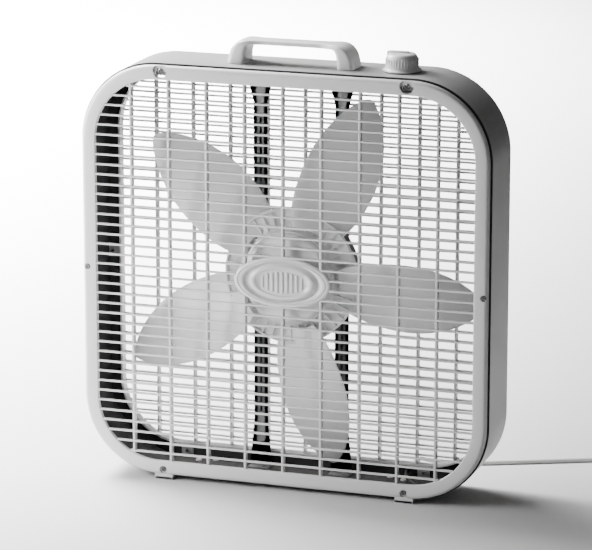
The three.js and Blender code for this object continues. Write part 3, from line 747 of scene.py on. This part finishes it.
def makeShadeSheet():
    # A near-black sheet inside the wrap, painted shade for its shadowed inside: a narrow flange fills the
    # seam in front, and a wide one closes it behind the rear panel
    near, far, thick = 1.3 * mm, 1.8 * mm, band["flangeThick"] * mm
    front, rear = -bandHigh.y + 0.4 * mm, bandHigh.y - 0.8 * mm
    seamFlange, rearFlange = band["frontFlange"] * mm, band["flange"] * mm
    profile = [(near, front), (seamFlange, front), (seamFlange, front + thick), (far, front + thick),
               (far, rear), (rearFlange, rear), (rearFlange, rear + thick), (near, rear + thick)]
    bm = bmesh.new()
    sweepSquare(bm, profile, faceHalf, cornerRadius, band["arcSteps"])
    return addPiece("bandShadeSheet", bm, "paintedShade")


pegs = [(117, 32), (137, 24)]


def makeFoot(side):
    low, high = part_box(f"band_foot_{side}")
    top = bandLow.z - 0.3 * mm
    way = 1 if side == "right" else -1
    bm = bmesh.new()
    addBox(bm, low, (high.x, high.y, top), 1.2 * mm, 3)
    for groove in range(7):
        y = low.y + (7 + 7 * groove) * mm
        addBox(bm, (low.x + 4 * mm, y, low.z), (high.x - 4 * mm, y + 3 * mm, low.z + 1.4 * mm), 0.6 * mm, 2)
    for x, y in pegs:
        profile = [(0, top - 1 * mm), (2.9 * mm, top - 1 * mm), (2.9 * mm, bandLow.z + 1.5 * mm),
                   (4.2 * mm, bandLow.z + 1.5 * mm), (4.2 * mm, high.z - 1.6 * mm),
                   (3.2 * mm, high.z - 0.5 * mm), (1.8 * mm, high.z), (0, high.z)]
        addTurned(bm, profile, (way * x * mm, y * mm, 0), "Z", 28)
    return addPiece(f"bandFoot{side.capitalize()}", bm, "foot", [f"band_foot_{side}"])


# The motor straps, mount plate and motor

strap = {"half": 9.0, "topHalf": 13.8, "bottomHalf": 14.0, "topRun": 51.0, "topFlare": 17.0,
         "bottomRun": 62.0, "thick": 2.0, "flange": 5.0, "bead": 1.3}


def strapWidth(z, low, high):
    if z < low + strap["bottomRun"] * mm:
        share = 1 - (z - low) / (strap["bottomRun"] * mm)
        return (strap["half"] + (strap["bottomHalf"] - strap["half"]) * min(1, share * 1.15)) * mm
    share = (strap["topRun"] * mm - high + z) / (strap["topFlare"] * mm)
    return (strap["half"] + (strap["topHalf"] - strap["half"]) * min(1, max(0, share))) * mm


def makeStrap(side):
    low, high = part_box(f"motor_strap_{side}")
    middle = (low.x + high.x) / 2
    face = high.y - strap["thick"] * mm
    bm = bmesh.new()
    rows = bmesh.ops.create_grid(bm, x_segments=12, y_segments=110, size=0.5)["verts"]
    for vert in rows:
        # A shallow stiffening bead runs down the strap's middle
        across, up = vert.co.x * 2, vert.co.y + 0.5
        z = low.z + up * (high.z - low.z)
        bead = strap["bead"] * mm * eased(1.6 - abs(across) * 3.2) * eased((0.5 - abs(up - 0.5)) * 14 - 0.9)
        vert.co = (middle + across * strapWidth(z, low.z, high.z), face + bead * 0.55, z)
    bmesh.ops.solidify(bm, geom=bm.faces[:], thickness=strap["thick"] * mm * 0.6)
    for z0, z1, half in ((low.z, low.z + strap["thick"] * mm, strap["bottomHalf"]),
                         (high.z - strap["thick"] * mm, high.z, strap["topHalf"])):
        addBox(bm, (middle - half * mm, low.y, z0), (middle + half * mm, high.y, z1), 0.5 * mm, 2)
    for edge in (-1, 1):
        x = middle + edge * (strap["half"] - 0.6) * mm
        addBox(bm, (x - 0.6 * mm, face, low.z + 40 * mm),
               (x + 0.6 * mm, face + strap["flange"] * 0.4 * mm, high.z - 52 * mm), 0.3 * mm, 1)
    return addPiece(f"motorStrap{side.capitalize()}", bm, "strap", [f"motor_strap_{side}"])


def makeMountPlate():
    low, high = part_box("motor_mount_plate")
    radius = high.x
    y0, y1 = low.y, high.y
    step = 0.7 * mm
    bm = bmesh.new()
    front = [(14 * mm, y0), (48 * mm, y0), (50 * mm, y0 + step), (62 * mm, y0 + step), (64 * mm, y0),
             (radius - 0.6 * mm, y0)]
    back = [(radius, y0 + 0.6 * mm), (radius, y1 - 0.6 * mm), (radius - 0.6 * mm, y1), (14 * mm, y1)]
    addTurned(bm, front + back, (0, 0, centreZ), "Y", 96, closed=True)
    return addPiece("motorMountPlate", bm, "strap", ["motor_mount_plate"])


def makeShell(side):
    low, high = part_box(f"motor_{side}_shell")
    radius = high.x
    ahead = 1 if side == "rear" else -1
    tip, end = (low.y, high.y) if side == "rear" else (high.y, low.y)
    wall = 2 * mm
    outer = [(radius, tip), (radius, tip + ahead * 3 * mm), (radius - 0.8 * mm, tip + ahead * 4 * mm)]
    corner = [(radius - 4.8 * mm + 4 * mm * cos(a), end - ahead * (4 * mm - 4 * mm * sin(a)))
              for a in quarterTurn(6)]
    hollow = [(24 * mm, end), (22 * mm, end - ahead * 0.9 * mm), (16 * mm, end - ahead * 0.9 * mm),
              (14 * mm, end), (5 * mm, end)]
    inside = [(5 * mm, end - ahead * wall), (9.3 * mm, end - ahead * wall), (9.3 * mm, ahead * 14 * mm),
              (12 * mm, ahead * 14 * mm), (12 * mm, end - ahead * 2.9 * mm),
              (radius - 5 * mm, end - ahead * 2.9 * mm),
              (radius - 2.8 * mm, end - ahead * 6 * mm), (radius - wall, tip)]
    bm = bmesh.new()
    addTurned(bm, outer + corner + hollow + inside, (0, 0, centreZ), "Y", 96, closed=True)
    return addPiece(f"motor{side.capitalize()}Shell", bm, "motor", [f"motor_{side}_shell"])


leads = {
    "start": [(138, 42.4, 16), (138, 33, 15.5), (141, 22, 13.5), (150, 7, 11.7), (163, -9, 11.5),
              (179, -22, 13.2)],
    "end": [(186, -19, 522), (173, -7, 520.5), (163, -2.6, 520), (154.8, -2, 520)],
    "toMotor": [(121.2, 6, 520), (114, 6.8, 520), (100, 16, 519), (85, 26, 516), (70, 31, 508),
                (57.5, 32.3, 495), (50, 32.5, 480), (47.5, 32.5, 400), (46, 32.8, 330), (42.5, 33.2, 312),
                (36, 33.8, 300), (28, 34, 291.5), (21.5, 32, 290), (20, 28, 290), (20, 24.6, 290)],
    "corner": 91, "y": -29,
}


def leadCorner(middle, degrees):
    reach = faceHalf / mm - cornerRadius / mm
    angle = radians(degrees)
    return (reach + leads["corner"] * cos(angle), leads["y"], middle / mm + leads["corner"] * sin(angle))


def makeLeads():
    lowMiddle, highMiddle = bandLow.z + cornerRadius, bandHigh.z - cornerRadius
    side = faceHalf / mm - cornerRadius / mm + leads["corner"]
    supply = leads["start"] + [leadCorner(lowMiddle, a) for a in (-65, -45, -20, 0)]
    supply += [(side, leads["y"], 200), (side, leads["y"], 340)]
    supply += [leadCorner(highMiddle, a) for a in (0, 20, 45, 65)] + leads["end"]
    for name, node, route, radius in (("supplyLead", "supply_lead", supply, 2.4),
                                      ("motorLead", "motor_lead", leads["toMotor"], 2.2)):
        makeTube(name, [Vector(point) * mm for point in route], radius, "lead", [node], 6)


makeBand()
makeShadeSheet()
for footSide in ("left", "right"):
    makeFoot(footSide)
    makeStrap(footSide)
makeMountPlate()
for shellSide in ("front", "rear"):
    makeShell(shellSide)
makeLeads()
for level in ("lower", "upper"):
    for screwSide in ("left", "right"):
        makeScrew(f"mount_screw_{level}_{screwSide}", proud=2.4)
for screwSide in ("left", "right"):
    makeScrew(f"motor_screw_{screwSide}", proud=2.4)
print("band and motor made")


# The blade: domed hub with radial ribs, and five leaf-shaped blades

blade = {"count": 5, "first": 138, "root": 66, "tip": 247.3, "widest": 150, "halfWidth": 46.5, "thick": 2.0,
         "camber": 3.0}
hub = {"flange": 86.5, "dome": 60, "front": -34, "flangeY": -12, "ribs": 40, "ribHeight": 5.5, "ribTip": 2.4}


def bladeHalfWidth(r):
    # Full towards the root and pointed towards the tip, which is cut just short of the point
    inward = r < blade["widest"]
    share = (r - blade["widest"]) / (100 if inward else blade["tip"] + 0.7 - blade["widest"])
    return max(1.2, blade["halfWidth"] * max(0.0, 1 - share * share) ** (0.5 if inward else 0.75))


def bladePoint(along, across, turn):
    tip = blade["tip"]
    r = blade["root"] + (1 - (1 - along) ** 1.6) * (tip - blade["root"])
    rise = (r - hub["flange"]) / (tip - hub["flange"])
    s = across * 2 * bladeHalfWidth(r)
    angle = turn + radians(3.4 * rise - 3) + s / r
    y = -14 * (1 - rise) - 0.4 * (1 - rise) * s - blade["camber"] * (1 - 4 * across * across) * (1.1 - rise)
    return Vector((r * cos(angle) * mm, y * mm, centreZ + r * sin(angle) * mm))


def makeBlade():
    bm = bmesh.new()
    for number in range(blade["count"]):
        turn = radians(blade["first"]) + number * 2 * pi / blade["count"]
        fresh = bmesh.ops.create_grid(bm, x_segments=44, y_segments=18, size=0.5)["verts"]
        for vert in fresh:
            vert.co = bladePoint(vert.co.x + 0.5, vert.co.y, turn)
    bmesh.ops.recalc_face_normals(bm, faces=bm.faces)
    bmesh.ops.solidify(bm, geom=bm.faces[:], thickness=blade["thick"] * mm)
    rims = [edge for edge in bm.edges if edge.calc_face_angle(0) > radians(60)]
    bmesh.ops.bevel(bm, geom=rims, offset=0.6 * mm, affect="EDGES", segments=2, profile=0.5, material=-1)
    addHub(bm)
    return addPiece("fanBlade", bm, "blade", ["fan_blade"], "rotor", 40)


def addHub(bm):
    front, flangeY = hub["front"] * mm, hub["flangeY"] * mm
    flange, dome = hub["flange"] * mm, hub["dome"] * mm
    bore = shaftRadius + 0.2 * mm
    r = 9 * mm
    crown = [(dome - 2.2 * mm - r + r * cos(a), front + 0.5 * mm + r - r * sin(a)) for a in quarterTurn(8)]
    rim = [(flange - 1.4 * mm, flangeY + 3 * mm), (flange, flangeY + 2 * mm), (flange, flangeY - 2.2 * mm),
           (flange - 0.8 * mm, flangeY - 3 * mm), (flange - 2.4 * mm, flangeY - 3 * mm),
           (flange - 3 * mm, flangeY)]
    foot = [(dome + 11 * mm, flangeY), (dome + 6 * mm, flangeY - 1.2 * mm),
            (dome + 2.4 * mm, flangeY - 4 * mm), (dome + 0.6 * mm, flangeY - 8 * mm),
            (dome - 0.6 * mm, flangeY - 12 * mm)]
    nose = [(26 * mm, front), (24 * mm, front - 0.9 * mm), (15 * mm, front - 1.2 * mm), (13.5 * mm, front),
            (bore, front)]
    inside = [(bore, -25 * mm), (9 * mm, -25 * mm), (9 * mm, front + 2.4 * mm),
              (dome - 12 * mm, front + 2.6 * mm), (dome - 6 * mm, front + 5.5 * mm),
              (dome - 4.4 * mm, front + 10 * mm), (dome - 2.4 * mm, flangeY + 3 * mm)]
    addTurned(bm, rim + foot + crown + nose + inside, (0, 0, centreZ), "Y", 120, closed=True)
    height = hub["ribHeight"] * mm
    for number in range(hub["ribs"]):
        verts = addBox(bm, (dome - 1 * mm, flangeY - height, -0.7 * mm),
                       (flange - 2 * mm, flangeY + 1 * mm, 0.7 * mm))
        outer = [vert for vert in verts if vert.co.x > (dome + flange) / 2 and vert.co.y < flangeY]
        bmesh.ops.translate(bm, vec=(0, height - hub["ribTip"] * mm, 0), verts=outer)
        place = Matrix.Translation((0, 0, centreZ)) @ Matrix.Rotation(number * 2 * pi / hub["ribs"], 4, "Y")
        bmesh.ops.transform(bm, matrix=place, verts=verts)


makeBlade()
print("blade made")


# The handle

handle = {"base": 82.0, "shoulder": 56.0, "inner": 59.0, "innerTop": 51.5, "under": 558.6, "leg": 20.0,
          "grip": 12.0, "legShare": 0.55, "stations": 64, "around": 40, "squareness": 4.5}


def bezier(points, t):
    a, b, c, d = (Vector(point) for point in points)
    s = 1 - t
    return a * s ** 3 + b * 3 * s * s * t + c * 3 * s * t * t + d * t ** 3


def archLine(share, foot, shoulder, floor, crest, bulge):
    # A leg curving up from the foot to the shoulder, then half of the grip
    leg = handle["legShare"]
    if share < leg:
        return bezier([(foot, floor), (foot - 1, floor + (crest - floor) * 0.55),
                       (shoulder + bulge, crest), (shoulder, crest)], share / leg)
    return Vector((shoulder * (1 - (share - leg) / (1 - leg)), crest))


def handleDepth(x):
    share = eased((abs(x) - 34) / 34)
    return handle["grip"] + (handle["leg"] - handle["grip"]) * share


def superRound(angle, power):
    c, s = cos(angle), sin(angle)
    return (abs(c) ** (2 / power) * (1 if c > 0 else -1), abs(s) ** (2 / power) * (1 if s > 0 else -1))


def makeHandle():
    low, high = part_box("handle")
    floor, top = low.z / mm, high.z / mm
    around = handle["around"]
    bm = bmesh.new()
    loops = []
    for number in range(handle["stations"] + 1):
        along = number / handle["stations"] * 2 - 1
        side = -1 if along < 0 else 1
        share = 1 - abs(along)
        outer = archLine(share, handle["base"], handle["shoulder"], floor, top, 19)
        inner = archLine(share, handle["inner"], handle["innerTop"], floor, handle["under"], 7)
        middle, spread = (outer + inner) / 2, (outer - inner) / 2
        depth = handleDepth(middle.x)
        circle = bmesh.ops.create_circle(bm, cap_ends=False, radius=1, segments=around)["verts"]
        for i, vert in enumerate(circle):
            across, deep = superRound(2 * pi * (i + 0.5) / around, handle["squareness"])
            spot = middle + spread * across
            vert.co = (side * spot.x * mm, deep * depth * mm, spot.y * mm)
        loops.append(edgesOf(circle))
    for first, second in zip(loops, loops[1:]):
        bmesh.ops.bridge_loops(bm, edges=first + second)
    for loop in (loops[0], loops[-1]):
        bmesh.ops.contextual_create(bm, geom=loop)
    return addPiece("handle.arch", bm, "handle", ["handle"], sharp=50)


# The speed knob and the switch under it

knob = {"skirt": 23.8, "body": 20.4, "crown": 19.2, "round": 6.0, "ridge": 2.2, "grips": 36}


def makeKnob():
    low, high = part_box("switch_knob")
    middle = (low + high) / 2
    base = low.z
    crest = high.z - 2.6 * mm
    skirt, body, crown = knob["skirt"] * mm, knob["body"] * mm, knob["crown"] * mm
    r = knob["round"] * mm
    dome = roundedCorner((crown - r, crest - r), r, 10)
    profile = [(0, base + 16 * mm), (3.4 * mm, base + 16 * mm), (3.4 * mm, base + 5 * mm),
               (12 * mm, base + 5 * mm),
               (12 * mm, base), (skirt - 0.6 * mm, base), (skirt, base + 0.6 * mm),
               (skirt - 0.2 * mm, base + 1.5 * mm), (skirt - 1.4 * mm, base + 2.2 * mm),
               (body + 1 * mm, base + 3 * mm), (body, base + 4.2 * mm), *dome,
               (7 * mm, crest + 0.3 * mm), (0, crest + 0.5 * mm)]
    bm = bmesh.new()
    addTurned(bm, profile, (middle.x, 0, 0), "Z", 96)
    for number in range(knob["grips"]):
        turn = 2 * pi * (number + 0.5) / knob["grips"]
        place = Matrix.Translation((middle.x, 0, 0)) @ Matrix.Rotation(turn, 4, "Z")
        addBox(bm, (crown - 1.2 * mm, -0.55 * mm, base + 5.5 * mm),
               (body + 0.1 * mm, 0.55 * mm, crest - r), 0.4 * mm, 1, place)
    # The finger ridge, and the pointer down its front end
    half = knob["ridge"] * mm
    addBox(bm, (middle.x - 16.5 * mm, -half, crest - 5 * mm), (middle.x + 9 * mm, half, high.z), 1.4 * mm, 4)
    addBox(bm, (middle.x - 19.2 * mm, -0.8 * mm, base + 8 * mm),
           (middle.x - 15 * mm, 0.8 * mm, high.z - 0.8 * mm), 0.5 * mm, 2)
    return addPiece("speedKnob", bm, "handle", ["switch_knob"], "knob", 40)


def dressNodes():
    # CAD pieces whose shape is right take their finish here
    wear = {"stator_core": "motor", "rotor_core": "motor", "stator_winding_front": "copper",
            "stator_winding_rear": "copper", "front_bearing": "bronze", "rear_bearing": "bronze",
            "motor_shaft": "screw", "blade_clip": "screw", "switch_nut": "screw", "switch_shaft": "screw",
            "handle_screw_left": "screw", "handle_screw_right": "screw", "switch_body": "switch"}
    for node, finish in wear.items():
        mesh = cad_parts[node].data
        mesh.materials.clear()
        mesh.materials.append(finishes[finish])


makeHandle()
makeKnob()
dressNodes()
print("handle and knob made")


# Floor and lights

stage = {"paper": (0.54, 0.54, 0.536), "half": 16.0}


def makeStage():
    bm = bmesh.new()
    bmesh.ops.create_grid(bm, x_segments=8, y_segments=8, size=stage["half"])
    mesh = bpy.data.meshes.new("studioFloor")
    bm.to_mesh(mesh)
    bm.free()
    material = bpy.data.materials.new("studioPaper")
    material.use_nodes = True
    shader = material.node_tree.nodes["Principled BSDF"]
    shader.inputs["Base Color"].default_value = (*stage["paper"], 1)
    shader.inputs["Roughness"].default_value = 0.9
    shader.inputs["Specular IOR Level"].default_value = 0.1
    mesh.materials.append(material)
    floor = bpy.data.objects.new("studioFloor", mesh)
    bpy.context.scene.collection.objects.link(floor)


def addLight(name, place, aim, size, power, spread=180):
    data = bpy.data.lights.new(name, "AREA")
    data.shape = "RECTANGLE"
    data.size, data.size_y = size
    data.energy = power
    data.spread = radians(spread)
    light = bpy.data.objects.new(name, data)
    light.location = place
    light.rotation_euler = (Vector(aim) - Vector(place)).to_track_quat("-Z", "Y").to_euler()
    light.visible_camera = False
    bpy.context.scene.collection.objects.link(light)


def lightStudio():
    world = bpy.data.worlds.new("softRoom")
    bpy.context.scene.world = world
    world.use_nodes = True
    background = world.node_tree.nodes["Background"]
    background.inputs["Color"].default_value = (1, 1, 1, 1)
    background.inputs["Strength"].default_value = 0.11
    addLight("windowLight", (-0.74, -0.46, 0.45), (0, 0, 0.28), (0.6, 0.3), 16)
    addLight("topLight", (-0.62, 0.15, 0.95), (0, 0, 0.5), (0.4, 0.4), 26)
    addLight("backLight", (-2.1, 1.9, 2.0), (-2.1, 1.9, 0), (2.6, 3.6), 1400, 95)
    addLight("frontFill", (-0.3, -3.4, 1.8), (0, 0, 0.25), (1.4, 1.4), 2)


makeStage()
lightStudio()
print("stage and lights made")
